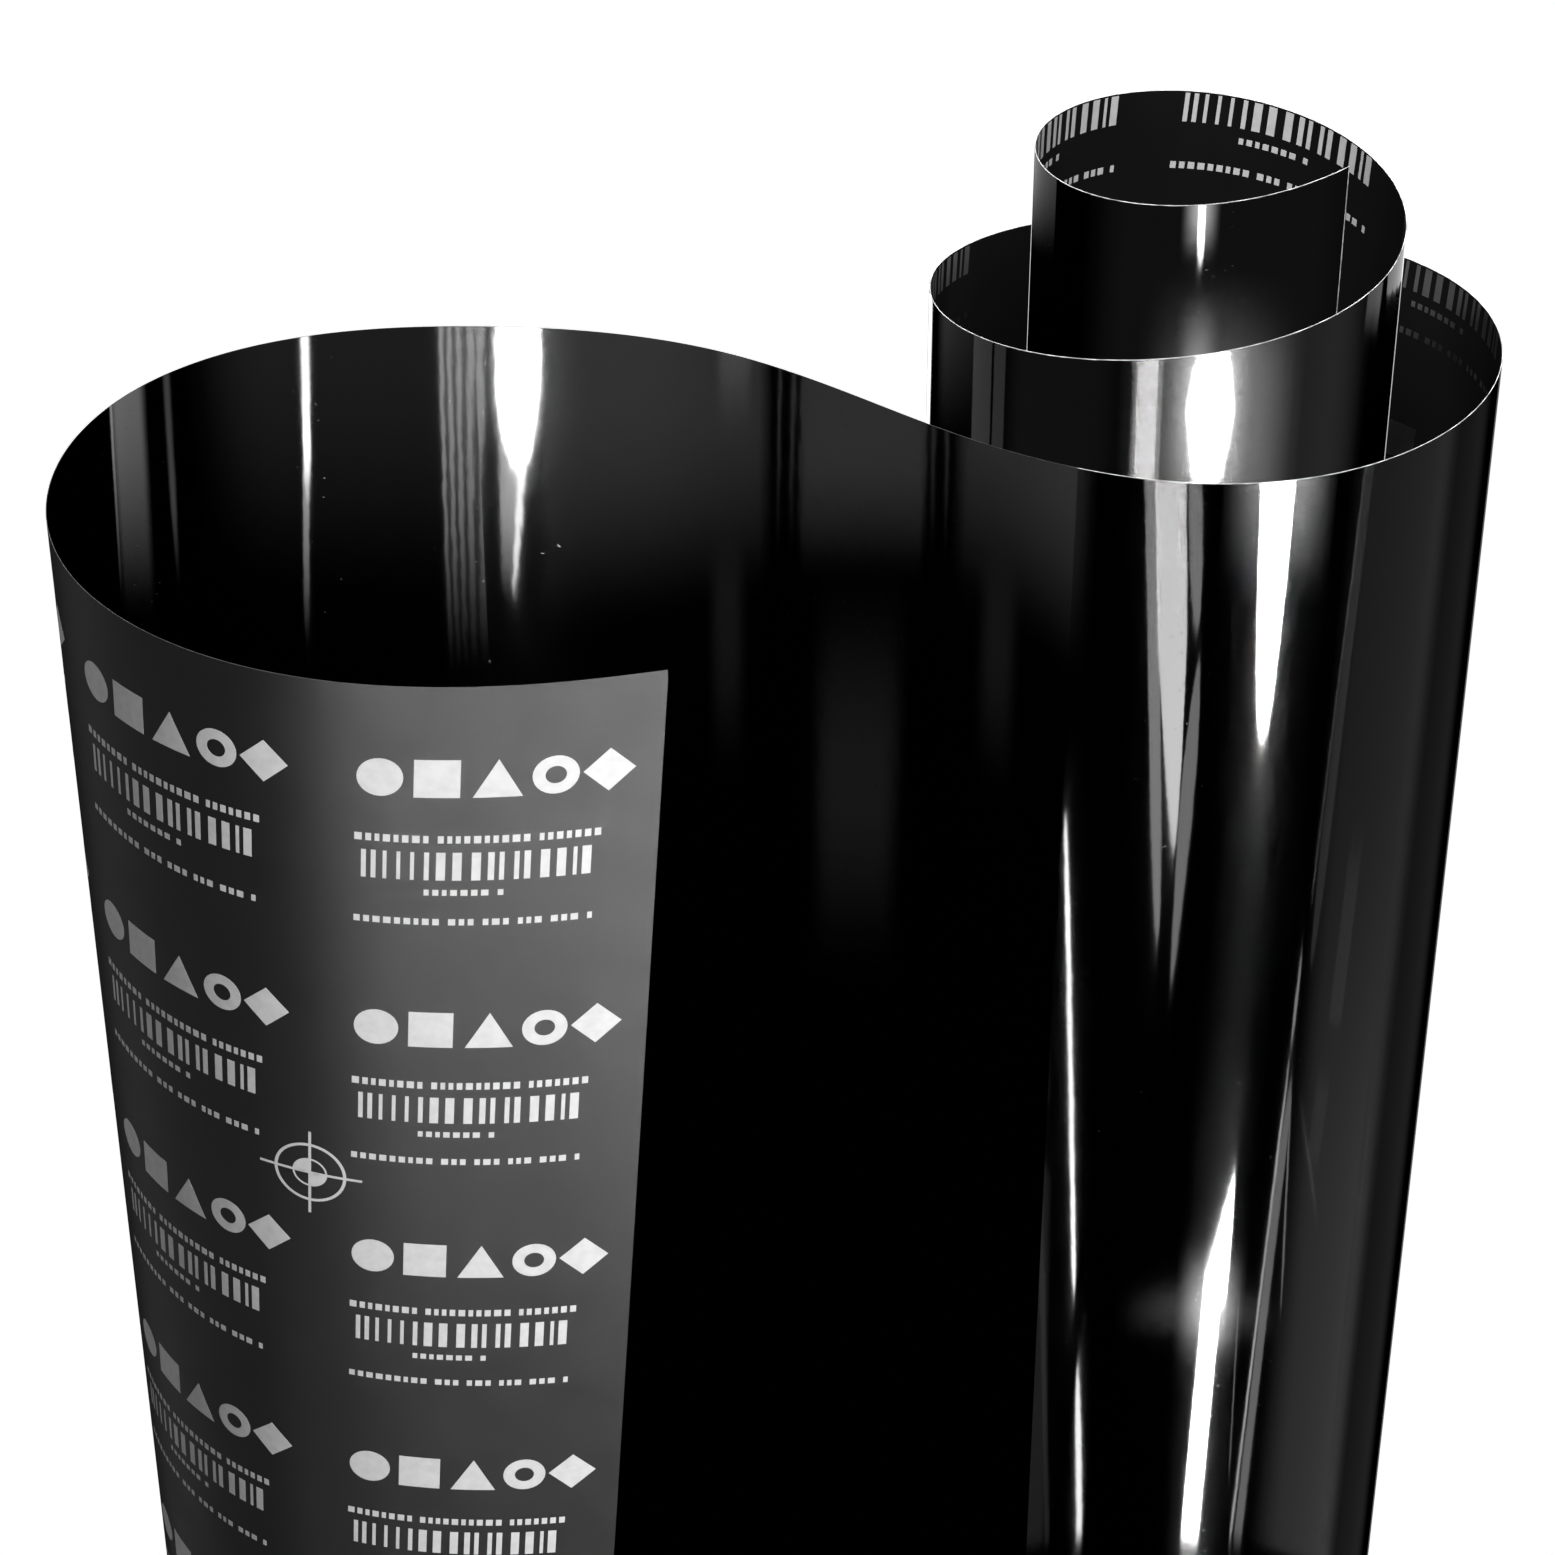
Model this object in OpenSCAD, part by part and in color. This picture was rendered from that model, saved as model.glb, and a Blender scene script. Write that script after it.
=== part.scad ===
// Roll of gloss black sign vinyl, standing on its long edge.
// One sheet in three bonded layers: face film, adhesive and printed release liner.
// The free end stands in a wide loop, the rest is a loose coreless roll of three turns.
// Millimetres, +Z up. The origin is on the floor, below the middle of the whole part.

/* [Sheet] */
// Width of the sheet, which is the height of the standing roll (24 inch stock)
sheet_w = 610; // [300:10:1220]
// Thickness of the gloss face film
film_t = 0.08; // [0.05:0.01:0.15]
// Thickness of the adhesive between film and liner
adhesive_t = 0.03; // [0.02:0.01:0.06]
// Thickness of the release liner
liner_t = 0.14; // [0.1:0.01:0.25]

/* [Winding] */
// How far the inner turns have crept up, in percent
telescoping = 100; // [0:10:100]
// How far the bottom corner of the free edge is cut back
edge_cutback = 40; // [5:5:60]
// Length of one facet along the sheet
facet = 7; // [4:1:12]

/* [Hidden] */

film_colour = [0.02, 0.02, 0.022];
adhesive_colour = [0.75, 0.75, 0.72];
liner_colour = [0.22, 0.22, 0.23];

// Length of the sheet: 5 foot
sheet_l = 1524;

// Bend of the standing sheet, in degrees per 100 mm, at distances from the free end.
// It turns right around the loop, straightens in the S, and turns left into the roll.
BEND = [[0, -13], [100, -41], [200, -67], [300, -70], [400, -19], [480, -42], [560, 22],
        [640, 56], [720, 65], [800, 104], [880, 43], [960, 69], [1040, 99], [1120, 69],
        [1200, 93], [1280, 103], [1360, 105], [1440, 121], [1524, 76]];
// Heading of the sheet at its free end, in degrees from +X
start_heading = -166.6;

// Rise of the sheet's edge, in mm per mm of sheet. It starts behind the outer turn.
RISE = [[820, 0], [900, 0.1], [1000, 0.19], [1100, 0.15], [1200, 0.08], [1360, 0.12], [1524, 0.16]];

// Where one body ends and the next begins, as distances from the free end
LOOP_CUT = 250;
BEND_CUT = 540;
OUTER_CUT = 985;
MIDDLE_CUT = 1290;
// Room between the ends of two bodies
end_gap = 0.3;
// The film and adhesive stop this far above the liner's bottom edge
film_lift = 0.3;
// Height of the pointed top corner where the free edge starts
corner_h = 3;

// Points of the winding's line every millimetre: x, y, heading and how far it has climbed
LINE = [for (s = 0, a = start_heading, x = 0, y = 0, h = 0, turn = lookup(0.5, BEND) / 100; s <= sheet_l;
             x = x + cos(a + turn / 2), y = y + sin(a + turn / 2), a = a + turn,
             h = h + lookup(s + 0.5, RISE) * telescoping / 100,
             s = s + 1, turn = lookup(s + 0.5, BEND) / 100)
        [x, y, a, h]];

// The part's middle, from its own extent
MID = [(min([for (p = LINE) p[0]]) + max([for (p = LINE) p[0]])) / 2,
       (min([for (p = LINE) p[1]]) + max([for (p = LINE) p[1]])) / 2];

// A point of the line at any distance, between two of its millimetre points
function at(s) =
    let (i = min(floor(s), sheet_l - 1), u = s - i)
    LINE[i] * (1 - u) + LINE[i + 1] * u;

// How far the sheet's edge has climbed at distance s
function climbed(s) = at(s)[3];

// A point at distance s, height z and offset d to the left of the line
function skin(s, z, d) =
    let (p = at(s))
    [p[0] - MID[0] - d * sin(p[2]), p[1] - MID[1] + d * cos(p[2]), z];

// Lowest point of the sheet at distance s: the free edge is cut back below
function foot(s, lift) =
    s < edge_cutback
        ? lift + (sheet_w - corner_h - lift) * (1 - s / edge_cutback)
        : lift + climbed(s);

// Distances of the stations from one end to the other, with one at the cut-back corner
function stations(from, to) =
    from < edge_cutback
        ? concat(stations_between(from, edge_cutback), [for (s = stations_between(edge_cutback, to))
                 if (s > edge_cutback) s])
        : stations_between(from, to);

function stations_between(from, to) =
    let (n = ceil((to - from) / facet))
    [for (i = [0:n]) from + (to - from) * i / n];

// One layer of the sheet, from offset d0 to d1, between two distances along the sheet
module layer(from, to, d0, d1, lift) {
    stops = stations(from, to);
    last = len(stops) - 1;
    points = [for (s = stops, k = [0:3])
              skin(s, k == 0 || k == 1 ? foot(s, lift) : sheet_w + climbed(s), k == 0 || k == 3 ? d0 : d1)];
    sides = [for (i = [0:last - 1], k = [0:3])
             let (a = 4 * i + k, b = 4 * i + (k + 1) % 4)
             each [[a, b + 4, b], [a, a + 4, b + 4]]];
    far = 4 * last;
    ends = [[0, 1, 2], [0, 2, 3], [far, far + 2, far + 1], [far, far + 3, far + 2]];
    polyhedron(points, concat(sides, ends), convexity = 6);
}

// The same for a stretch that stands level and square, as a plain extrusion
module level_layer(from, to, d0, d1, lift) {
    stops = stations_between(from, to);
    last = len(stops) - 1;
    outline = concat([for (s = stops) skin(s, 0, d0)], [for (i = [0:last]) skin(stops[last - i], 0, d1)]);
    translate([0, 0, lift]) linear_extrude(height = sheet_w - lift) polygon([for (p = outline) [p[0], p[1]]]);
}

// A stretch is level and square where it is neither cut back nor climbing
function is_level(from, to) = from >= edge_cutback && to <= RISE[0][0];

module stretch(from, to, d0, d1, lift) {
    if (is_level(from, to)) level_layer(from, to, d0, d1, lift);
    else layer(from, to, d0, d1, lift);
}

module film(from, to) {
    color(film_colour) stretch(from, to, -adhesive_t - film_t, -adhesive_t, film_lift);
}

module adhesive(from, to) {
    color(adhesive_colour) stretch(from, to, -adhesive_t, 0, film_lift);
}

module liner(from, to) {
    color(liner_colour) stretch(from, to, 0, liner_t, 0);
}

module film_free_end() film(0, LOOP_CUT - end_gap / 2);
module adhesive_free_end() adhesive(0, LOOP_CUT - end_gap / 2);
module liner_free_end() liner(0, LOOP_CUT - end_gap / 2);

module film_loop_back() film(LOOP_CUT + end_gap / 2, BEND_CUT - end_gap / 2);
module adhesive_loop_back() adhesive(LOOP_CUT + end_gap / 2, BEND_CUT - end_gap / 2);
module liner_loop_back() liner(LOOP_CUT + end_gap / 2, BEND_CUT - end_gap / 2);

module film_outer_turn() film(BEND_CUT + end_gap / 2, OUTER_CUT - end_gap / 2);
module adhesive_outer_turn() adhesive(BEND_CUT + end_gap / 2, OUTER_CUT - end_gap / 2);
module liner_outer_turn() liner(BEND_CUT + end_gap / 2, OUTER_CUT - end_gap / 2);

module film_middle_turn() film(OUTER_CUT + end_gap / 2, MIDDLE_CUT - end_gap / 2);
module adhesive_middle_turn() adhesive(OUTER_CUT + end_gap / 2, MIDDLE_CUT - end_gap / 2);
module liner_middle_turn() liner(OUTER_CUT + end_gap / 2, MIDDLE_CUT - end_gap / 2);

module film_inner_turn() film(MIDDLE_CUT + end_gap / 2, sheet_l);
module adhesive_inner_turn() adhesive(MIDDLE_CUT + end_gap / 2, sheet_l);
module liner_inner_turn() liner(MIDDLE_CUT + end_gap / 2, sheet_l);

film_free_end();
adhesive_free_end();
liner_free_end();
film_loop_back();
adhesive_loop_back();
liner_loop_back();
film_outer_turn();
adhesive_outer_turn();
liner_outer_turn();
film_middle_turn();
adhesive_middle_turn();
liner_middle_turn();
film_inner_turn();
adhesive_inner_turn();
liner_inner_turn();
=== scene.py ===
"""A roll of gloss black sign vinyl standing on its long edge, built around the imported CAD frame.

One sheet in three bonded layers follows one winding line: face film on the right of the line as seen
from the free end, printed release liner on the left. Gloss shows only what it reflects, so the stage is
mostly light cards, placed where the film or the liner mirrors them towards the camera. Lengths are
metres and angles degrees, unless a name or comment says otherwise.
"""

import math
import random

import bmesh
import bpy
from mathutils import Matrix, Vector


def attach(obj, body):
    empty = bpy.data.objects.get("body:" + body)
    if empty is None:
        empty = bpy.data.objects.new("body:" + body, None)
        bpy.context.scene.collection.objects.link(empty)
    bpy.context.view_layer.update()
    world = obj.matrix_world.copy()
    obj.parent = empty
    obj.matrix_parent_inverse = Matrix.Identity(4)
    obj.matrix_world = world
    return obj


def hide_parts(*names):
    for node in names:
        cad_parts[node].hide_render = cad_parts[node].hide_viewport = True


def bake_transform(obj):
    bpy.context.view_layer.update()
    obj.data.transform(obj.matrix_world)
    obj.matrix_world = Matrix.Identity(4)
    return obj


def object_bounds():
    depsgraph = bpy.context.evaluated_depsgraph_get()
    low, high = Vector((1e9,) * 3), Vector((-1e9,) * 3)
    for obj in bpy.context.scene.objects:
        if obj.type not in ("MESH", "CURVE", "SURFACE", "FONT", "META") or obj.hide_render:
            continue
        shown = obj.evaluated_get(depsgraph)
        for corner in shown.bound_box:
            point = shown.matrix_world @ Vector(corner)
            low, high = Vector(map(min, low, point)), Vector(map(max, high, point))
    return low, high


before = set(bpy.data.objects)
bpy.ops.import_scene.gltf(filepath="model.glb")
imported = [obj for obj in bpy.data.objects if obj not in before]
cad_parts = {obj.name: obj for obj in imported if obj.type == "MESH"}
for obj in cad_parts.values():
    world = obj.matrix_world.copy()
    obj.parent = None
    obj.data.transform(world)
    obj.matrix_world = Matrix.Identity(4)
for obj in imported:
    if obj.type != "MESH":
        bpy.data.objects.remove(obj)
CAD_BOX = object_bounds()
MM = 0.001

# ---------------------------------------------------------------- the sheet and its winding line
SHEET_W = 0.610
SHEET_L = 1.524
FILM_T = 0.08 * MM
ADHESIVE_T = 0.03 * MM
LINER_T = 0.14 * MM
# Bend in degrees per 100 mm, and rise in mm per mm, at distances in mm from the free end
BEND = [(0, -13), (100, -41), (200, -67), (300, -70), (400, -19), (480, -42), (560, 22), (640, 56),
        (720, 65), (800, 104), (880, 43), (960, 69), (1040, 99), (1120, 69), (1200, 93), (1280, 103),
        (1360, 105), (1440, 121), (1524, 76)]
RISE = [(820, 0), (900, 0.1), (1000, 0.19), (1100, 0.15), (1200, 0.08), (1360, 0.12), (1524, 0.16)]
START_HEADING = -166.6
EDGE_CUTBACK = 0.040
CORNER_H = 0.003
FILM_LIFT = 0.3 * MM
# How far the film stops short of the sheet's inner end, baring pale adhesive: a painted highlight for the
# glint on that end
END_GLINT_CUTBACK = 0.4 * MM
# How far the film's top stands below the top cut, give or take, and where along the sheet that begins. The
# pale
# # adhesive that this bares is a painted highlight for the glint on the roll's rims
TOP_GLINT_DROP, TOP_GLINT_DROP_SPREAD = 0.16 * MM, 0.10 * MM
TOP_GLINT_DROP_FROM, TOP_GLINT_DROP_FADE = 0.59, 0.06
# Heights of the sheet's slow waves and of its fine ones
SLOW_RIPPLE, FINE_RIPPLE = 0.05 * MM, 0.008 * MM
LINE_STEPS = 3048


def eased(u):
    """Runs smoothly from 0 to 1."""
    u = min(max(u, 0), 1)
    return u * u * (3 - 2 * u)


def lookup(table, at):
    """A table's value between its points; its end values hold beyond them."""
    if at <= table[0][0]:
        return table[0][1]
    for (s0, v0), (s1, v1) in zip(table, table[1:]):
        if at <= s1:
            return v0 + (v1 - v0) * (at - s0) / (s1 - s0)
    return table[-1][1]


def winding_line():
    """Points (x, y, heading, climb) at even steps, centred on the CAD box."""
    step = SHEET_L / LINE_STEPS
    x, y, heading, climb = 0.0, 0.0, math.radians(START_HEADING), 0.0
    points = [(x, y, heading, climb)]
    for i in range(LINE_STEPS):
        middle = (i + 0.5) * step / MM
        turn = math.radians(lookup(BEND, middle)) * step / 0.1
        x += step * math.cos(heading + turn / 2)
        y += step * math.sin(heading + turn / 2)
        if middle > RISE[0][0]:
            climb += lookup(RISE, middle) * step
        heading += turn
        points.append((x, y, heading, climb))
    low, high = CAD_BOX
    mid_x = (min(p[0] for p in points) + max(p[0] for p in points)) / 2 - (low.x + high.x) / 2
    mid_y = (min(p[1] for p in points) + max(p[1] for p in points)) / 2 - (low.y + high.y) / 2
    return [(p[0] - mid_x, p[1] - mid_y, p[2], p[3]) for p in points]


LINE = winding_line()


def on_line(s):
    """x, y, heading and climb at distance s."""
    t = min(max(s / SHEET_L, 0), 1) * LINE_STEPS
    i = min(int(t), LINE_STEPS - 1)
    u = t - i
    a, b = LINE[i], LINE[i + 1]
    return tuple(a[k] + (b[k] - a[k]) * u for k in range(4))


def foot(s, lift):
    """Height of the sheet's lower edge: the free edge is cut back below."""
    if s < EDGE_CUTBACK:
        return lift + (SHEET_W - CORNER_H - lift) * (1 - s / EDGE_CUTBACK)
    return lift + on_line(s)[3]


def head(s):
    """Height of the sheet's upper edge."""
    return SHEET_W + on_line(s)[3]


def ripple(s, z):
    """The waviness of a real sheet, under a tenth of a millimetre."""
    low = math.sin(s * 61 + 1.3) * math.sin(z * 9.0 + s * 14)
    fine = math.sin(s * 173 + z * 6.0 + 0.7) * math.sin(z * 17 - s * 8 + 2.1)
    return SLOW_RIPPLE * low + FINE_RIPPLE * fine


def on_sheet(s, z, d):
    """The point at distance s and height z, offset d to the left of the line."""
    x, y, heading, _ = on_line(s)
    off = d + ripple(s, z)
    return (x - off * math.sin(heading), y + off * math.cos(heading), z)


# ---------------------------------------------------------------- stretches of the sheet
class Stretch:
    """A stretch between two distances, the bodies that it rides on or lies between, and the CAD
    nodes that it stands for."""

    def __init__(self, name, start, end, bodies, blend=None, stands_for=()):
        self.name, self.start, self.end = name, start, end
        self.bodies, self.blend, self.stands_for = bodies, blend, stands_for

    def attach(self, obj):
        if self.blend:
            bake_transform(obj)
        else:
            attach(obj, self.bodies[0])


# Points between which the sheet would bend as one body moves against the next. Nothing bends it here: a
# # stretch given these is left fixed, attached to no body
LOOP_FOLD = ((-0.213, -0.075, 0), (-0.213, 0.045, 0))
S_FOLD = ((-0.050, 0, 0), (0.110, 0, 0))
BACK_FOLD = ((0.140, 0, 0), (0.045, 0, 0))
RISE_FOLD = ((0.180, 0.052, 0), (0.119, 0.103, 0))
STRETCHES = [
    Stretch("loop", 0.0, 0.400, ("free_end", "loop_back"), LOOP_FOLD, ("free_end",)),
    Stretch("bend", 0.400, 0.600, ("loop_back", "outer_turn"), S_FOLD, ("loop_back",)),
    Stretch("outer", 0.600, 0.880, ("loop_back", "outer_turn"), S_FOLD, ("outer_turn",)),
    Stretch("back", 0.880, 1.035, ("outer_turn", "middle_turn"), BACK_FOLD),
    Stretch("middle", 1.035, 1.240, ("middle_turn",), None, ("middle_turn",)),
    Stretch("rise", 1.240, 1.330, ("middle_turn", "inner_turn"), RISE_FOLD),
    Stretch("inner", 1.330, SHEET_L, ("inner_turn",), None, ("inner_turn",)),
]


def new_object(name, mesh, materials):
    obj = bpy.data.objects.new(name, mesh)
    bpy.context.scene.collection.objects.link(obj)
    for material in materials:
        mesh.materials.append(material)
    return obj


# Length of a facet along the sheet, and how many facets there are up it
STATION = 2.0 * MM
ROWS = 28
# A last short facet at each end, so that the shading runs straight on into the next stretch
END_FACET = 0.1 * MM


def stations(start, end):
    """Distances along a stretch, with the corner of the cut-back edge and a short facet at each end."""
    n = max(2, round((end - start) / STATION))
    stops = [start + (end - start) * i / n for i in range(n + 1)]
    stops += [start + END_FACET, end - END_FACET]
    if start < EDGE_CUTBACK < end:
        stops.append(EDGE_CUTBACK)
    return sorted(set(stops))


def layer_mesh(name, start, end, d0, d1, lift, drop=None):
    """A closed shell of one layer, from offset d0 to d1. Its top is lower by drop, a function of the
    distance. Material slot 0 is its faces and slot 1 its cut edges."""
    stops = stations(start, end)
    verts, faces, slots = [], [], []
    for d in (d0, d1):
        for s in stops:
            low, high = foot(s, lift), head(s) - (drop(s) if drop else 0)
            verts += [on_sheet(s, low + (high - low) * r / ROWS, d) for r in range(ROWS + 1)]
    cols, per = len(stops), ROWS + 1
    side = cols * per
    for i in range(cols - 1):
        for r in range(ROWS):
            a = i * per + r
            faces.append((a, a + per, a + per + 1, a + 1))
            faces.append((side + a, side + a + 1, side + a + per + 1, side + a + per))
            slots += [0, 0]
        for a, flip in ((i * per, False), (i * per + ROWS, True)):
            quad = (a, side + a, side + a + per, a + per)
            faces.append(quad[::-1] if flip else quad)
            slots.append(1)
    for a, flip in ((0, True), ((cols - 1) * per, False)):
        for r in range(ROWS):
            quad = (a + r, side + a + r, side + a + r + 1, a + r + 1)
            faces.append(quad[::-1] if flip else quad)
            slots.append(1)
    mesh = bpy.data.meshes.new(name)
    mesh.from_pydata(verts, [], faces)
    mesh.polygons.foreach_set("material_index", slots)
    mesh.shade_smooth()
    mesh.set_sharp_from_angle(angle=math.radians(50))
    mesh.update()
    return mesh


# ---------------------------------------------------------------- materials
def material(name):
    mat = bpy.data.materials.new(name)
    mat.use_nodes = True
    nodes, links = mat.node_tree.nodes, mat.node_tree.links
    return mat, nodes, links, nodes["Principled BSDF"]


def noise(nodes, links, scale, detail=2.0, stretch=(1, 1, 1), rough=0.5):
    """Object-space noise, with its own scale along each axis."""
    coord = nodes.new("ShaderNodeTexCoord")
    mapping = nodes.new("ShaderNodeMapping")
    mapping.inputs["Scale"].default_value = stretch
    texture = nodes.new("ShaderNodeTexNoise")
    texture.inputs["Scale"].default_value = scale
    texture.inputs["Detail"].default_value = detail
    texture.inputs["Roughness"].default_value = rough
    links.new(coord.outputs["Object"], mapping.inputs["Vector"])
    links.new(mapping.outputs["Vector"], texture.inputs["Vector"])
    return texture.outputs["Fac"]


def ramp(nodes, links, value, stops):
    """A ramp of (position, grey or colour) stops on a value."""
    node = nodes.new("ShaderNodeValToRGB")
    elements = node.color_ramp.elements
    elements[0].position, elements[1].position = stops[0][0], stops[-1][0]
    for position, _ in stops[1:-1]:
        elements.new(position)
    for element, (_, shade) in zip(elements, stops):
        element.color = (*([shade] * 3 if isinstance(shade, float) else shade), 1)
    links.new(value, node.inputs["Fac"])
    return node.outputs["Color"]


def bump(nodes, links, height, distance, strength=1.0, normal=None):
    node = nodes.new("ShaderNodeBump")
    node.inputs["Distance"].default_value = distance
    node.inputs["Strength"].default_value = strength
    links.new(height, node.inputs["Height"])
    if normal is not None:
        links.new(normal, node.inputs["Normal"])
    return node.outputs["Normal"]


def film_material():
    """Cast gloss film: near-black, mirror gloss with a faint orange peel, sparse dust and a soft haze."""
    mat, nodes, links, bsdf = material("gloss_black_film")
    dust = ramp(nodes, links, noise(nodes, links, 700.0, 0.0), [(0.0, 0.0), (0.83, 0.0), (0.86, 1.0)])
    links.new(ramp(nodes, links, dust, [(0.0, (0.0008, 0.0008, 0.0009)), (1.0, (0.010, 0.010, 0.010))]),
              bsdf.inputs["Base Color"])
    rough = ramp(nodes, links, noise(nodes, links, 14.0, 3.0), [(0.3, 0.03), (0.7, 0.05)])
    links.new(rough, bsdf.inputs["Roughness"])
    bsdf.inputs["IOR"].default_value = 1.47
    bsdf.inputs["Coat Weight"].default_value = 0.04
    bsdf.inputs["Coat Roughness"].default_value = 0.28
    bsdf.inputs["Coat IOR"].default_value = 1.4
    peel = bump(nodes, links, noise(nodes, links, 160.0, 2.0, (1, 1, 0.45)), 0.008 * MM)
    links.new(bump(nodes, links, dust, 0.01 * MM, 0.5, peel), bsdf.inputs["Normal"])
    return mat


def liner_material():
    """Silicone-coated liner paper: dark grey, satin, with faint mottle and fibre."""
    mat, nodes, links, bsdf = material("dark_grey_liner")
    mottle = noise(nodes, links, 22.0, 4.0, (1, 1, 0.6), 0.6)
    links.new(ramp(nodes, links, mottle, [(0.3, (0.008, 0.008, 0.0083)), (0.7, (0.011, 0.011, 0.0113))]),
              bsdf.inputs["Base Color"])
    links.new(ramp(nodes, links, noise(nodes, links, 60.0, 3.0), [(0.3, 0.28), (0.7, 0.34)]),
              bsdf.inputs["Roughness"])
    bsdf.inputs["IOR"].default_value = 1.45
    fibre = noise(nodes, links, 900.0, 3.0, (1, 1, 0.25))
    links.new(bump(nodes, links, fibre, 0.010 * MM, 0.6), bsdf.inputs["Normal"])
    return mat


def ink_material():
    """Pale grey print on the liner, a little uneven where it is thin."""
    mat, nodes, links, bsdf = material("pale_print_ink")
    links.new(ramp(nodes, links, noise(nodes, links, 350.0, 4.0), [(0.3, 0.58), (0.65, 0.66)]),
              bsdf.inputs["Base Color"])
    bsdf.inputs["Roughness"].default_value = 0.45
    return mat


def edge_material(name, grey, spread):
    """A knife-cut edge: lighter than the faces, uneven from place to place along the cut. Its pale
    copies are painted highlights for the glint along the roll's rims, broken into dashes like it.
    """
    mat, nodes, links, bsdf = material(name)
    links.new(ramp(nodes, links, noise(nodes, links, 300.0, 3.0), [(0.35, grey), (0.65, grey + spread)]),
              bsdf.inputs["Base Color"])
    bsdf.inputs["Roughness"].default_value = 0.35
    return mat


FILM = film_material()
PAPER = liner_material()
INK = ink_material()
FILM_EDGE = edge_material("film_cut_edge", 0.04, 0.06)
# The pale bead and the pale liner edge are painted highlights for the glint along the roll's rims
ADHESIVE_AND_PAINTED_GLINT = edge_material("adhesive_bead_painted_glint", 0.40, 0.45)
PLAIN_BEAD = edge_material("adhesive_cut_edge", 0.04, 0.04)
PLAIN_LINER_EDGE = edge_material("liner_cut_edge", 0.04, 0.04)
LINER_EDGE_PAINTED_GLINT = edge_material("liner_edge_painted_glint", 0.30, 0.65)

# The roll's cut edges are painted pale, a painted highlight for the glint on its rims; the loop's stay dark
GLINT_PAINTED_STRETCHES = ("outer", "back", "middle", "rise", "inner")


def layers(stretch):
    """Name, offsets, lift, materials and slot of each layer of a stretch."""
    # The roll's stretches get the pale edges: painted highlights for the glint along their rims
    liner_edge, bead = (LINER_EDGE_PAINTED_GLINT, ADHESIVE_AND_PAINTED_GLINT) if stretch.name in GLINT_PAINTED_STRETCHES else (PLAIN_LINER_EDGE, PLAIN_BEAD)
    return [
        ("film", -ADHESIVE_T - FILM_T, -ADHESIVE_T, FILM_LIFT, (FILM, FILM_EDGE), "face_film"),
        ("adhesive", -ADHESIVE_T, 0.0, FILM_LIFT, (ADHESIVE_AND_PAINTED_GLINT, bead), "adhesive"),
        ("liner", 0.0, LINER_T, 0.0, (PAPER, liner_edge), "release_liner"),
    ]


def glint_thread_drop(s):
    """How far the film's top stands below the roll's top cut, baring a thread of the pale adhesive: a painted
    highlight for the glint along the rims of the turns.
    """
    uneven = math.sin(s * 900) * math.sin(s * 370 + 1)
    return (TOP_GLINT_DROP + TOP_GLINT_DROP_SPREAD * uneven) * eased((s - TOP_GLINT_DROP_FROM) / TOP_GLINT_DROP_FADE)


def declare_sheet(stretch, lift):
    """Works out the area of the flat piece that a stretch of a layer is, the sheet's width by the stretch's
    length, but does nothing with it.
    """
    width, length = SHEET_W - lift, stretch.end - stretch.start
    area = width * length
    if stretch.start < EDGE_CUTBACK:
        area -= (width - CORNER_H) * EDGE_CUTBACK / 2


def build_sheet():
    """Each layer of each stretch. They don't mirror each other, so that the gloss shows only the cards."""
    for stretch in STRETCHES:
        for layer, d0, d1, lift, materials, slot in reversed(layers(stretch)):
            name = f"{layer}_{stretch.name}"
            is_film = layer == "film"
            # The film stops short at the inner end and below the roll's top cut: the pale adhesive it bares
            # is a painted highlight
            end = stretch.end - (END_GLINT_CUTBACK if is_film and stretch.end == SHEET_L else 0)
            mesh = layer_mesh(name, stretch.start, end, d0, d1, lift, glint_thread_drop if is_film else None)
            obj = new_object(name, mesh, materials)
            obj.visible_glossy = False
            stretch.attach(obj)
            for body in stretch.stands_for:
                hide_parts(f"{layer}_{body}")
            declare_sheet(stretch, lift)


build_sheet()

# ---------------------------------------------------------------- print on the liner
# Left edge of a column in mm, by its number: the repeat isn't quite even along the sheet
COLUMNS = [(-1, -12), (0, 85.8), (1, 183.6), (8, 848), (10, 1051), (13, 1333), (14, 1420), (16, 1594)]
LAST_COLUMN = 16
# From one row of marks to the next, in mm. Row 0 starts at the sheet's top edge
ROW_PITCH = 91.6
LAST_ROW = 6
# Centre in mm of the first register target, how far apart they are along the sheet and how many, and how
# many rows of marks the lower ones are below the upper ones
TARGET_S, TARGET_DEPTH = 98.8, 185
TARGET_PITCH, TARGET_COUNT = 489, 4
TARGET_ROWS = 4
COLUMN_SLANT = EDGE_CUTBACK / SHEET_W
INK_T = 0.03 * MM
# Width in mm of the strips that large marks are cut into, so that the ink bends with the sheet
SLICE = 2.5
PRINT_MARGIN = 0.6
# How far the print ends up below its first line, and where it leaves that line, in mm
DRIFT, DRIFT_FROM, DRIFT_LENGTH = 34.6, 190, 620


def drift(s_mm):
    """The print runs a little out of parallel with the sheet's edge, in mm down from it."""
    return DRIFT * eased((s_mm - DRIFT_FROM) / DRIFT_LENGTH)


def regular(sides, radius, turn=0.0, centre=(0.0, 0.0)):
    return [(centre[0] + radius * math.cos(turn + 2 * math.pi * i / sides),
             centre[1] + radius * math.sin(turn + 2 * math.pi * i / sides)) for i in range(sides)]


def bar(x0, y0, x1, y1):
    return [(x0, y0), (x1, y0), (x1, y1), (x0, y1)]


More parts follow.
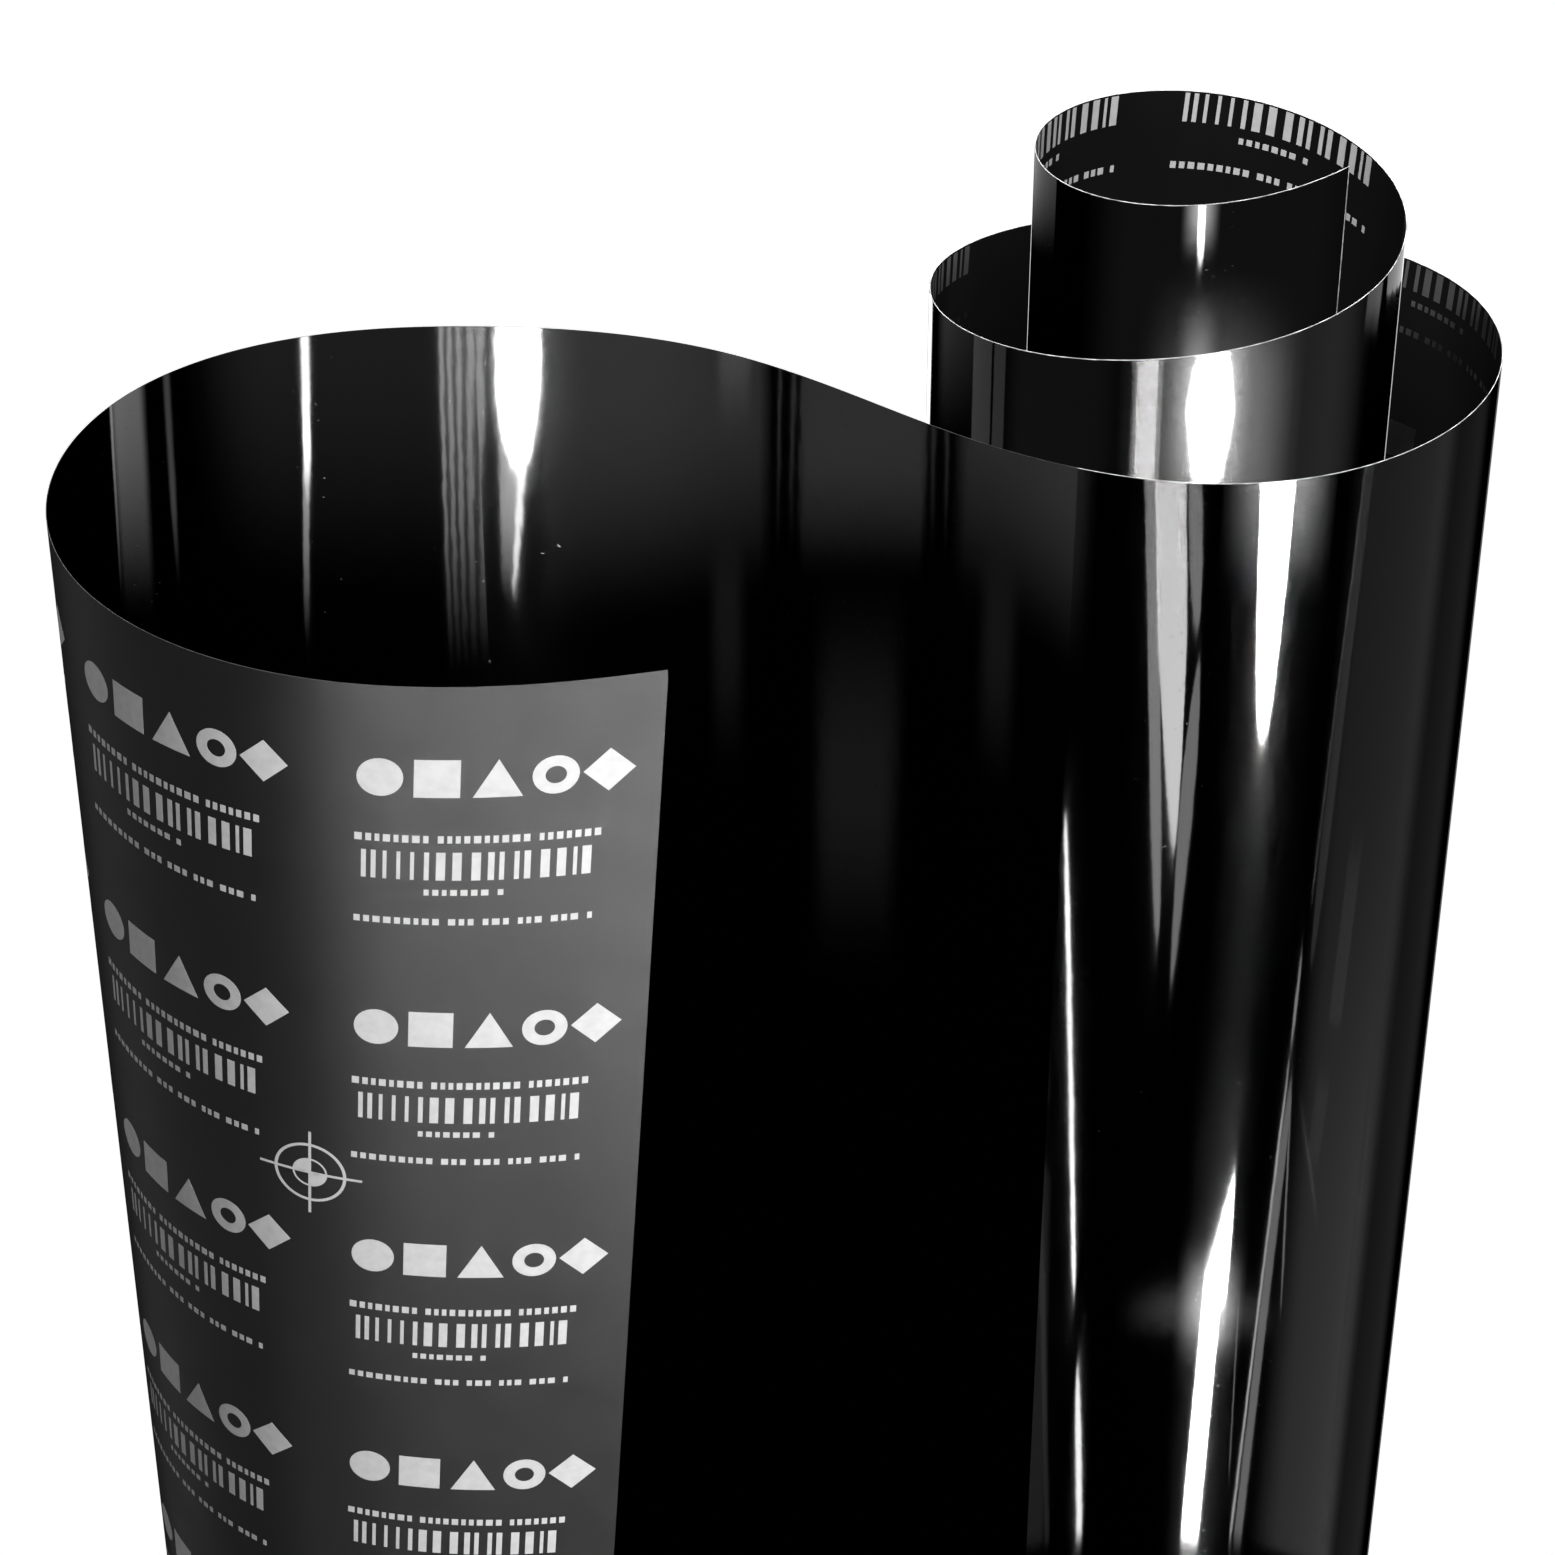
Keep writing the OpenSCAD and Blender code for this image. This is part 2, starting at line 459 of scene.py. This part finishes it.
def ring(outer, inner, centre, sides=36):
    """A ring as a loop of quads."""
    a, b = regular(sides, outer, 0, centre), regular(sides, inner, 0, centre)
    return [[a[i], a[(i + 1) % sides], b[(i + 1) % sides], b[i]] for i in range(sides)]


def shape_row():
    """The generic symbol: five plain shapes in a row. x runs to the right and y down, in mm."""
    y, half = 31.5, 6.6
    shapes = [regular(28, half, 0, (7, y)), bar(16.5, y - half, 29.5, y + half),
              [(33, y + half), (40, y - half), (47, y + half)]]
    shapes += ring(half, 3.0, (56, y), 28)
    shapes.append(regular(4, half + 0.8, 0, (71, y)))
    return shapes


def dashes(chance, x0, x1, y0, y1, words):
    """A line of greeked text: runs of small blocks with gaps between words."""
    made, x = [], x0
    while x < x1 - 1.2:
        for _ in range(chance.choice(words)):
            w = chance.uniform(1.3, 2.2)
            if x + w > x1:
                break
            made.append(bar(x, y0, x + w, y1))
            x += w + 1.0
        x += 1.6
    return made


def stripes(chance, x0, x1, y0, y1):
    """A bold band of upright stripes of mixed widths."""
    made, x = [], x0
    while x < x1 - 1.0:
        w = chance.choice((1.1, 1.4, 1.8, 2.6))
        made.append(bar(x, y0, min(x + w, x1), y1))
        x += w + chance.choice((1.4, 2.0, 2.8))
    return made


def mark():
    """One printed mark, 78 mm wide, in mm right of its left edge and below the top of its row."""
    chance = random.Random(7)
    shapes = shape_row()
    shapes += dashes(chance, 0, 72, 51.6, 54.2, (10, 8))
    shapes += stripes(chance, 2, 67, 57.5, 67.5)
    shapes += dashes(chance, 20, 45, 70.9, 73.0, (7,))
    shapes += dashes(chance, 0, 70, 81.5, 83.8, (3, 9, 3))
    return shapes


def target():
    """A plain printer's register target: ring, cross hairs and a quartered disc, in mm."""
    arm, half_line, disc, steps = 16.5, 0.45, 5.4, 8
    shapes = ring(11.6, 10.6, (0, 0), 48)
    shapes.append(bar(-arm, -half_line, arm, half_line))
    shapes.append(bar(-half_line, -arm, half_line, -half_line))
    shapes.append(bar(-half_line, half_line, half_line, arm))
    for start in (0, math.pi):
        angles = [start + i * math.pi / 2 / steps for i in range(steps + 1)]
        shapes.append([(0.0, 0.0)] + [(disc * math.cos(a), disc * math.sin(a)) for a in angles])
    shapes += ring(5.6, 5.0, (0, 0), 36)
    return shapes


def print_mesh(name, start, end):
    """Every mark that falls on a stretch, cut at the sheet's edges and laid on the liner as thin ink."""
    bm = bmesh.new()
    first_mm, last_mm, width_mm = start / MM, end / MM, SHEET_W / MM

    def lay(shapes, left, top):
        """Puts shapes on the flat sheet: x is the distance along it and y the depth below its top edge."""
        for shape in shapes:
            flat = [(left - x + COLUMN_SLANT * (top + y), top + y) for x, y in shape]
            along = [p[0] for p in flat]
            if min(along) > last_mm or max(along) < first_mm:
                continue
            bm.faces.new([bm.verts.new((x, y, 0)) for x, y in flat])

    def cut(point, normal, clear=True):
        """Cuts everything at a plane, and clears what is beyond it."""
        bmesh.ops.bisect_plane(bm, geom=bm.verts[:] + bm.edges[:] + bm.faces[:], plane_co=point,
                               plane_no=normal, clear_outer=clear)

    marks, targets = mark(), target()
    for column in range(-1, LAST_COLUMN + 1):
        for row in range(-1, LAST_ROW + 1):
            lay(marks, lookup(COLUMNS, column), ROW_PITCH * row)
    for group in range(TARGET_COUNT):
        for depth in (TARGET_DEPTH, TARGET_DEPTH + TARGET_ROWS * ROW_PITCH):
            lay(targets, TARGET_S + TARGET_PITCH * group, depth)
    cut((first_mm, 0, 0), (-1, 0, 0))
    cut((last_mm, 0, 0), (1, 0, 0))
    for i in range(int(first_mm / SLICE) + 1, int(last_mm / SLICE) + 1):
        cut((i * SLICE, 0, 0), (1, 0, 0), False)
    # The print follows its drift first, and is then cut at the two long edges and the free edge
    for v in bm.verts:
        v.co.y += drift(v.co.x)
    cut((0, PRINT_MARGIN, 0), (0, -1, 0))
    cut((0, width_mm - PRINT_MARGIN, 0), (0, 1, 0))
    cut((PRINT_MARGIN, 0, 0), Vector((-1, COLUMN_SLANT, 0)).normalized())
    top = bmesh.ops.extrude_face_region(bm, geom=bm.faces[:])["geom"]
    lifted = {v for v in top if isinstance(v, bmesh.types.BMVert)}
    for v in bm.verts:
        s = v.co.x * MM
        v.co = on_sheet(s, head(s) - v.co.y * MM, LINER_T + (INK_T if v in lifted else 0.0))
    bmesh.ops.recalc_face_normals(bm, faces=bm.faces[:])
    mesh = bpy.data.meshes.new(name)
    bm.to_mesh(mesh)
    bm.free()
    return mesh


def build_print():
    for stretch in STRETCHES:
        name = f"print_{stretch.name}"
        obj = new_object(name, print_mesh(name, stretch.start, stretch.end), [INK])
        obj.visible_glossy = False
        stretch.attach(obj)


build_print()

# ---------------------------------------------------------------- camera
CAMERA_PITCH = 37.5
# Lens and sensor in mm
CAMERA_LENS, CAMERA_SENSOR = 107.0, 36
CAMERA_DISTANCE = 1.229
# The point that it looks at, level with the top edge, from the middle of the CAD box
AIM_X, AIM_Y = -0.0043, -0.1623


def build_camera():
    """Looks down on the roll through a long lens."""
    low, high = CAD_BOX
    aim = Vector(((low.x + high.x) / 2 + AIM_X, (low.y + high.y) / 2 + AIM_Y, SHEET_W))
    pitch = math.radians(CAMERA_PITCH)
    back = Vector((0, -math.cos(pitch), math.sin(pitch)))
    data = bpy.data.cameras.new("camera")
    data.sensor_width = CAMERA_SENSOR
    data.lens = CAMERA_LENS
    camera = bpy.data.objects.new("camera", data)
    camera.location = aim + back * CAMERA_DISTANCE
    camera.rotation_euler = (math.pi / 2 - pitch, 0, 0)
    bpy.context.scene.collection.objects.link(camera)
    bpy.context.scene.camera = camera


# ---------------------------------------------------------------- light cards
def card_material():
    """Light that doesn't hide what is behind it, as strong as each point's own "light" value."""
    mat = bpy.data.materials.new("card_light")
    mat.use_nodes = True
    nodes, links = mat.node_tree.nodes, mat.node_tree.links
    nodes.clear()
    out = nodes.new("ShaderNodeOutputMaterial")
    light = nodes.new("ShaderNodeEmission")
    clear = nodes.new("ShaderNodeBsdfTransparent")
    both = nodes.new("ShaderNodeAddShader")
    value = nodes.new("ShaderNodeAttribute")
    value.attribute_name = "light"
    links.new(value.outputs["Fac"], light.inputs["Strength"])
    links.new(light.outputs["Emission"], both.inputs[0])
    links.new(clear.outputs["BSDF"], both.inputs[1])
    links.new(both.outputs["Shader"], out.inputs["Surface"])
    return mat


CARD_LIGHT = card_material()
# How far from their centre the upright cards stand, and how many facets they are high
CARD_REACH = 1.3
CARD_ROWS = 32
# Facets across a card with soft sides, and the width in degrees of those across a plain one
SOFT_COLUMNS, HARD_COLUMN = 16, 8
# How a pointed tip narrows: 0.5 is round, 1 is straight
CARD_TAPER = 0.42
# The groups of pieces that share their lights and cards
LIT = {}


def only_for(obj, pieces):
    """Lets a light or card reach only the pieces that it names. Cycles keeps at most 64 such groups apart,
    so the lights and cards for the same pieces share one."""
    pieces = tuple(pieces)
    if pieces not in LIT:
        LIT[pieces] = bpy.data.collections.new(f"lit_{len(LIT)}")
        for piece in pieces:
            LIT[pieces].objects.link(bpy.data.objects[piece])
    obj.light_linking.receiver_collection = LIT[pieces]


def build_card(name, verts, faces, light, sees):
    """A light card that only the gloss of the pieces in sees reflects, with its light at each point."""
    mesh = bpy.data.meshes.new(name)
    mesh.from_pydata(verts, [], faces)
    mesh.attributes.new("light", "FLOAT", "POINT").data.foreach_set("value", light)
    obj = new_object(name, mesh, [CARD_LIGHT])
    obj.visible_camera = obj.visible_diffuse = obj.visible_shadow = False
    obj.visible_transmission = False
    only_for(obj, sees)


def blade(name, centre, azimuths, half, heights, strength, sees, tips=(0, 0), fades=(0, 0), soft=0.0,
          taper=CARD_TAPER):
    """An upright light card bent round a centre, which only the gloss of the pieces in sees reflects.
    Azimuth 0 is towards the camera and 90 towards +X. The card runs between two heights, top first, from
    one azimuth to another, and reaches half, in degrees, to each side. Tips are the shares of its length
    that narrow at its top and bottom, fades those that dim, and soft the share of its width that dims."""
    top, bottom = heights
    columns = SOFT_COLUMNS if soft else max(1, round(2 * half / HARD_COLUMN))
    verts, faces, light = [], [], []
    for i in range(CARD_ROWS + 1):
        t = i / CARD_ROWS
        wide, along = half, 1.0
        for share, u in ((tips[0], t), (tips[1], 1 - t)):
            if share and u < share:
                wide *= (u / share) ** taper
        for share, u in ((fades[0], t), (fades[1], 1 - t)):
            if share:
                along *= eased(u / share)
        for c in range(columns + 1):
            across = 2 * c / columns - 1
            a = math.radians(azimuths[0] + (azimuths[1] - azimuths[0]) * t + wide * across)
            verts.append((centre[0] + CARD_REACH * math.sin(a), centre[1] - CARD_REACH * math.cos(a),
                          top + (bottom - top) * t))
            light.append(strength * along * (eased((1 - abs(across)) / soft) if soft else 1.0))
    for i in range(CARD_ROWS):
        for c in range(columns):
            a = i * (columns + 1) + c
            faces.append((a, a + 1, a + columns + 2, a + columns + 1))
    build_card(name, verts, faces, light, sees)


# Centres (x, y) that the cards stand round, one for each curve that mirrors them and one for all round
ROLL = (0.14, -0.022)
TURN = (0.11, -0.015)
CORE = (0.118, 0.0)
LOOP = (-0.11, 0.062)
LINER = (-0.08, -0.12)
MIDDLE = (0, 0)


def roll_cards():
    """What the outer turn mirrors: two lamps with their glow, a band, thin streaks and a dim room."""
    sees = ["film_outer"]
    blade("roll_white", ROLL, (24.2, 26.8), 8.4, (-0.10, -0.457), 150, sees, tips=(0, 1))
    blade("roll_glow", ROLL, (27, 27), 22, (-0.10, -0.345), 10, sees, fades=(0, 0.45), soft=1)
    blade("roll_low_tip", ROLL, (30.2, 25), 6.0, (-0.84, -0.975), 120, sees, tips=(1, 0.15), taper=0.8)
    blade("roll_low", ROLL, (24.9, 23.4), 3.9, (-0.95, -1.2), 120, sees)
    blade("roll_low_glow", ROLL, (24.5, 24.5), 15, (-0.90, -1.03), 12, sees, fades=(0.5, 0.5), soft=1)
    blade("roll_low_ray", ROLL, (22, 22), 36, (-0.94, -1.00), 1.5, sees, fades=(0.5, 0.5), soft=1)
    blade("roll_band", ROLL, (-16.5, -3.5), 4.8, (-0.10, -0.55), 14, sees, tips=(0, 0.4), taper=0.6)
    blade("roll_band_left", ROLL, (-23, -7), 1.8, (-0.10, -0.63), 4.5, sees, tips=(0, 0.2))
    blade("roll_band_right", ROLL, (-9.5, -0.5), 2.2, (-0.10, -0.37), 4, sees, tips=(0, 0.2))
    blade("roll_lobe", ROLL, (1.0, -1.0), 2.4, (-0.39, -0.665), 3.5, sees, tips=(0.3, 0.5), taper=0.6)
    blade("roll_thread", ROLL, (-38.2, -28.3), 0.7, (-0.505, -0.95), 26, sees, tips=(0.2, 0.1))
    blade("roll_thread_low", ROLL, (-26, -22), 1.0, (-1.02, -1.2), 20, sees, tips=(0.4, 0))
    blade("roll_streak_line", ROLL, (50.3, 42), 0.45, (-0.72, -1.2), 7, sees, tips=(0.2, 0))
    blade("roll_streak", ROLL, (52, 45.5), 1.8, (-0.74, -1.2), 2.2, sees, tips=(0.2, 0))
    blade("roll_streak_tip", ROLL, (51.5, 50.5), 0.6, (-0.63, -0.715), 4, sees, tips=(0.5, 0.3))
    blade("roll_wire", ROLL, (52.5, 57), 0.4, (-0.76, -0.96), 2.4, sees, tips=(0.3, 0.3))
    blade("roll_lane_line", ROLL, (63, 54), 0.3, (-0.10, -0.58), 1.0, sees)
    blade("roll_lane", ROLL, (64, 56.5), 2.0, (-0.10, -0.64), 0.35, sees, tips=(0, 0.2))
    blade("roll_fine_line", ROLL, (36.5, 39), 0.25, (-0.95, -1.13), 2.5, sees, fades=(0.2, 0))
    blade("roll_arc", ROLL, (55, 73), 0.5, (-0.745, -0.875), 0.6, sees, fades=(0.4, 0.4))
    blade("roll_window", ROLL, (74, 71), 3.2, (-0.50, -0.68), 0.16, sees, fades=(0.4, 0))
    blade("roll_window_low", ROLL, (68.5, 66), 3.2, (-0.72, -0.81), 0.12, sees, fades=(0.3, 0))
    blade("roll_side", ROLL, (84, 78), 28, (0.1, -1.2), 0.22, sees, soft=0.4)
    blade("roll_side_low", ROLL, (82, 82), 24, (-0.45, -1.2), 0.14, sees, fades=(0.6, 0), soft=0.4)
    blade("roll_far_side", ROLL, (118, 118), 24, (0.1, -1.2), 0.055, sees, soft=0.6)
    blade("roll_rim", ROLL, (160, 160), 5, (0.1, -1.2), 0.15, sees)
    blade("roll_left_dim", ROLL, (-47, -43), 4.5, (-0.34, -0.76), 0.30, sees, tips=(0.4, 0), soft=0.3)
    blade("roll_left_low", ROLL, (-43, -39), 5.5, (-0.79, -1.2), 0.25, sees, tips=(0.1, 0), soft=0.3)
    blade("roll_left_line", ROLL, (-47, -33), 0.7, (-0.50, -1.2), 0.3, sees, tips=(0.3, 0))


def turn_cards():
    """What the middle turn mirrors: a band, a burnt-out lamp with its glow, and dim panes at its sides."""
    sees = ["film_middle"]
    blade("turn_band", TURN, (-11.4, -8.2), 4.4, (-0.02, -0.35), 12, sees)
    blade("turn_band_rim", TURN, (-11.4, -8.2), 6.3, (-0.02, -0.35), 4, sees)
    blade("turn_white", TURN, (18.5, 18.5), 12, (-0.145, -0.265), 260, sees, tips=(0.5, 0.5), soft=0.35)
    blade("turn_halo", TURN, (18, 18), 20, (-0.11, -0.29), 20, sees, fades=(0.5, 0.5), soft=1)
    blade("turn_glow", TURN, (22, 22), 44, (-0.09, -0.32), 6, sees, fades=(0.4, 0.4), soft=1)
    blade("turn_side", TURN, (117, 113), 7, (-0.05, -0.125), 0.7, sees, fades=(0, 0.4))
    blade("turn_far_side", TURN, (146, 146), 18, (0.05, -0.095), 0.9, sees)
    blade("turn_rim", TURN, (164, 164), 5, (-0.05, -0.30), 0.8, sees)
    blade("turn_pane_a", TURN, (-97.5, -97.5), 7, (0.0, -0.3), 0.5, sees)
    blade("turn_pane_b", TURN, (-85, -85), 3.8, (0.0, -0.3), 0.45, sees)
    blade("turn_dim", TURN, (72, 72), 42, (0.0, -0.4), 0.30, sees, fades=(0, 0.3), soft=0.8)
    blade("turn_left", TURN, (-120, -120), 26, (0.0, -0.22), 0.25, sees, fades=(0, 0.7), soft=0.6)
    blade("turn_left_dim", TURN, (-50, -50), 36, (0.0, -0.3), 0.12, sees, soft=0.5)


def core_cards():
    """What the inner turn mirrors: the same lamp, smaller, and the glow of the one on the middle turn."""
    sees = ["film_inner"]
    blade("core_white", CORE, (-9.5, -7.8), 2.3, (-0.02, -0.113), 30, sees, tips=(0, 0.15))
    blade("core_glow", CORE, (-9, -9), 12, (-0.02, -0.112), 12, sees, fades=(0, 0.4), soft=1)
    blade("core_side", CORE, (-146, -146), 24, (0.05, -0.095), 0.5, sees, fades=(0, 0.5))
    blade("core_rim", CORE, (-178, -178), 4, (0.05, -0.30), 1.2, sees)
    blade("core_dim", CORE, (0, 0), 90, (0.0, -0.3), 0.12, sees, soft=0.4)
    blade("core_low", CORE, (6, 6), 50, (-0.11, -0.25), 3.5, sees, fades=(1, 0), soft=1)
    blade("core_low_spot", CORE, (-6, -6), 14, (-0.13, -0.21), 8, sees, fades=(1, 0), soft=1)


def loop_cards():
    """What the inside of the loop and the bend mirror: lamps, a ribbed pane, a wide dim ceiling, and thin
    pale lines in the dark beside it. The start of the roll sees the ceiling too."""
    sees = ["film_loop", "film_bend"]
    blade("loop_flare", LOOP, (-10.5, -9.0), 2.4, (-0.10, -0.31), 90, sees, tips=(0, 0.3))
    blade("loop_flare_tail", LOOP, (-10.3, -7.4), 1.6, (-0.10, -0.42), 8, sees, tips=(0, 0.5), fades=(0, 0.3))
    blade("loop_flare_line", LOOP, (-11.0, -7.9), 0.35, (-0.18, -0.41), 18, sees, tips=(0, 0.3))
    for rib in range(5):
        azimuth = rib - 6.4
        blade(f"loop_rib_{rib}", LOOP, (azimuth, azimuth + 1.6), 0.25, (-0.10, -0.47), 8, sees,
              fades=(0, 0.8))
    blade("loop_rib_haze", LOOP, (-4.4, -2.8), 2.2, (-0.10, -0.46), 1.0, sees, fades=(0, 0.8))
    blade("loop_thin", LOOP, (21.9, 26.1), 1.0, (-0.10, -0.34), 30, sees, tips=(0, 0.2), fades=(0, 0.25))
    blade("loop_thin_tail", LOOP, (25.0, 29.3), 0.8, (-0.27, -0.45), 8, sees, tips=(0, 0.3), fades=(0, 0.9))
    blade("loop_left", LOOP, (91, 101), 11, (-0.15, -0.45), 2.2, sees, fades=(0, 0.7), soft=0.4)
    blade("loop_left_line", LOOP, (100, 111.5), 0.7, (-0.15, -0.44), 3.5, sees, fades=(0, 0.7))
    blade("loop_blob", LOOP, (72, 77), 2.2, (-0.22, -0.42), 1.0, sees, tips=(0, 0.4), fades=(0, 0.4),
          soft=0.8)
    blade("loop_sky", LOOP, (5, 5), 60, (-0.10, -0.42), 0.30, sees, fades=(0, 0.7), soft=0.5)
    blade("bend_sky", LOOP, (-34, -34), 24, (-0.10, -0.45), 0.52, sees, fades=(0, 0.5), soft=0.1)
    blade("roll_sky", LOOP, (-37, -37), 15, (-0.10, -0.45), 0.52, ["film_outer"], fades=(0, 0.5), soft=0.6)
    blade("bend_glow", LOOP, (-11, -11), 7, (-0.10, -0.33), 1.0, sees, fades=(0, 0.5), soft=1)
    blade("bend_pane", LOOP, (-50, -49), 5, (-0.10, -0.32), 1.5, sees, fades=(0, 0.6), soft=0.5)
    blade("bend_far_pane", LOOP, (-67.2, -66.2), 3.4, (-0.10, -0.44), 0.55, sees, fades=(0, 0.33))
    for fold, azimuth in enumerate((-63.2, -61.9, -59.6)):
        blade(f"bend_fold_{fold}", LOOP, (azimuth, azimuth + 0.6), 0.25, (-0.20, -0.42), 0.6, sees,
              fades=(0, 0.6))
    blade("bend_low", LOOP, (-47, -47), 6, (-0.38, -0.60), 0.14, sees, fades=(0.3, 0.6), soft=0.8)
    blade("bend_oval", LOOP, (-68.5, -68.5), 4.5, (-0.42, -0.80), 0.16, sees, fades=(0.5, 0.5), soft=0.5)


def liner_cards():
    """The satin sheen on the front of the loop, which comes mostly from the right."""
    sees = ["liner_loop"]
    blade("liner_sheen", LINER, (16, 20), 60, (0.1, -0.72), 5.6, sees, fades=(0, 0.3), soft=0.5)
    blade("liner_right", LINER, (40, 34), 25, (-0.40, -0.73), 4.6, sees, fades=(0.3, 0.2), soft=0.6)
    blade("liner_low", LINER, (-20, -20), 40, (-0.76, -1.2), 0.4, sees)
    blade("liner_left", LINER, (-90, -90), 60, (0.1, -1.2), 0.15, sees, soft=0.6)


def rear_cards():
    """Tall soft boxes behind the roll, for the views from the sides and the back."""
    heights = (1.0, -1.3)
    back = ["film_back", "film_rise"]
    with_outer = back + ["film_outer"]
    boxes = ((150, 6, 2.0, back), (190, 8, 3.0, with_outer), (230, 4, 5.0, with_outer),
             (260, 8, 1.0, with_outer))
    for azimuth, half, strength, sees in boxes:
        blade(f"rear_{azimuth}", MIDDLE, (azimuth, azimuth), half, heights, strength, sees, soft=0.3)
    blade("rear_liner", MIDDLE, (158, 158), 34, heights, 2.5, ["liner_loop", "liner_bend"], soft=0.6)


def horizon_cards():
    """Soft boxes that end above the floor's horizon, for low views from all round."""
    films = [f"film_{s.name}" for s in STRETCHES]
    boxes = ((20, 13, 5.0), (62, 6, 2.0), (98, 9, 3.5), (150, 12, 4.0), (212, 6, 6.0), (248, 10, 2.5),
             (300, 14, 3.0), (338, 5, 6.0))
    for azimuth, half, strength in boxes:
        blade(f"horizon_{azimuth}", MIDDLE, (azimuth, azimuth), half, (1.3, 0.03), strength, films,
              fades=(0, 0.35), soft=0.3)
    liners = [f"liner_{s.name}" for s in STRETCHES]
    blade("horizon_liner", MIDDLE, (180, 180), 110, (1.3, 0.10), 1.8, liners, fades=(0, 0.5), soft=0.5)


def floor_card():
    """A pool of light below the floor, in three streaks, which only steep views reflect."""
    rings, spokes, radius, depth, strength = 12, 72, 0.95, -1.25, 0.45
    verts, light = [(0, 0, depth)], [strength / 4]
    for r in range(1, rings + 1):
        for k in range(spokes):
            a = 2 * math.pi * k / spokes
            verts.append((radius * r / rings * math.cos(a), radius * r / rings * math.sin(a), depth))
            streaks = 0.25 + 0.75 * max(0, math.sin(3 * a + 1)) ** 4
            light.append(strength * streaks * eased(2.5 * (1 - r / rings)))
    faces = [(0, 1 + k, 1 + (k + 1) % spokes) for k in range(spokes)]
    for r in range(rings - 1):
        for k in range(spokes):
            a, b = 1 + r * spokes + k, 1 + r * spokes + (k + 1) % spokes
            faces.append((a, a + spokes, b + spokes, b))
    sees = [f"{layer}_{s.name}" for s in STRETCHES for layer in ("film", "liner")]
    build_card("floor_pool", verts, faces, light, sees)


# ---------------------------------------------------------------- lights, floor and world
LIGHT_AIM = Vector((0, 0, 0.4))
LIGHT_DISTANCE = 2.2
FLOOR_HALF = 12.0
# How bright the world is to dull surfaces
WORLD_DIM = 0.025


def area(name, azimuth, elevation, size, power, reaches):
    """A soft light on the pieces that it names, which the gloss doesn't reflect."""
    a, e = math.radians(azimuth), math.radians(elevation)
    out = Vector((math.sin(a) * math.cos(e), -math.cos(a) * math.cos(e), math.sin(e)))
    data = bpy.data.lights.new(name, "AREA")
    data.size = size
    data.energy = power
    light = bpy.data.objects.new(name, data)
    light.location = LIGHT_AIM + out * LIGHT_DISTANCE
    light.rotation_euler = out.to_track_quat("Z", "Y").to_euler()
    light.visible_glossy = False
    bpy.context.scene.collection.objects.link(light)
    only_for(light, reaches)


def build_floor():
    """A pale floor that burns out to white. The gloss doesn't see it, so the film stays black."""
    mat, _, _, bsdf = material("pale_floor")
    bsdf.inputs["Base Color"].default_value = (0.85, 0.85, 0.85, 1)
    bsdf.inputs["Roughness"].default_value = 0.9
    bsdf.inputs["Emission Color"].default_value = (1, 1, 1, 1)
    bsdf.inputs["Emission Strength"].default_value = 1.0
    mesh = bpy.data.meshes.new("floor")
    corners = [(x * FLOOR_HALF, y * FLOOR_HALF, 0) for x, y in ((-1, -1), (1, -1), (1, 1), (-1, 1))]
    mesh.from_pydata(corners, [], [(0, 1, 2, 3)])
    floor = new_object("floor", mesh, [mat])
    floor.visible_glossy = False
    floor.visible_diffuse = False


def build_world():
    """White behind everything for the camera, a dim grey all round for dull surfaces, and nothing for
    the gloss."""
    world = bpy.data.worlds.new("studio")
    world.use_nodes = True
    nodes, links = world.node_tree.nodes, world.node_tree.links
    dim = nodes["Background"]
    dim.inputs["Color"].default_value = (1, 1, 1, 1)
    white = nodes.new("ShaderNodeBackground")
    white.inputs["Color"].default_value = (1, 1, 1, 1)
    path = nodes.new("ShaderNodeLightPath")
    share = nodes.new("ShaderNodeMath")
    share.operation = "MULTIPLY"
    share.inputs[1].default_value = WORLD_DIM
    mix = nodes.new("ShaderNodeMixShader")
    links.new(path.outputs["Is Diffuse Ray"], share.inputs[0])
    links.new(share.outputs["Value"], dim.inputs["Strength"])
    links.new(path.outputs["Is Camera Ray"], mix.inputs["Fac"])
    links.new(dim.outputs["Background"], mix.inputs[1])
    links.new(white.outputs["Background"], mix.inputs[2])
    links.new(mix.outputs["Shader"], nodes["World Output"].inputs["Surface"])
    bpy.context.scene.world = world


def build_lights():
    """Light for the liner, print and adhesive. The print deep between the turns gets only a little."""
    dull = {s.name: (f"liner_{s.name}", f"print_{s.name}", f"adhesive_{s.name}") for s in STRETCHES}
    on_loop = [piece for name in ("loop", "bend") for piece in dull[name]]
    on_roll = [piece for name in GLINT_PAINTED_STRETCHES for piece in dull[name]]
    deep_print = ["print_outer", "print_back", "print_middle"]
    area("key", 45, 35, 0.7, 104, on_loop)
    area("top", 10, 76, 0.9, 110, [piece for piece in on_roll if piece not in deep_print])
    area("deep", 20, 22, 0.6, 9, deep_print)
    area("left", -65, 30, 0.7, 11, on_loop)
    area("back", 195, 35, 0.9, 70, on_loop)


def build_stage():
    build_floor()
    build_world()
    roll_cards()
    turn_cards()
    core_cards()
    loop_cards()
    liner_cards()
    rear_cards()
    horizon_cards()
    floor_card()
    build_lights()
    bpy.context.scene.view_settings.view_transform = "Standard"
    bpy.context.scene.view_settings.look = "None"


build_camera()
build_stage()
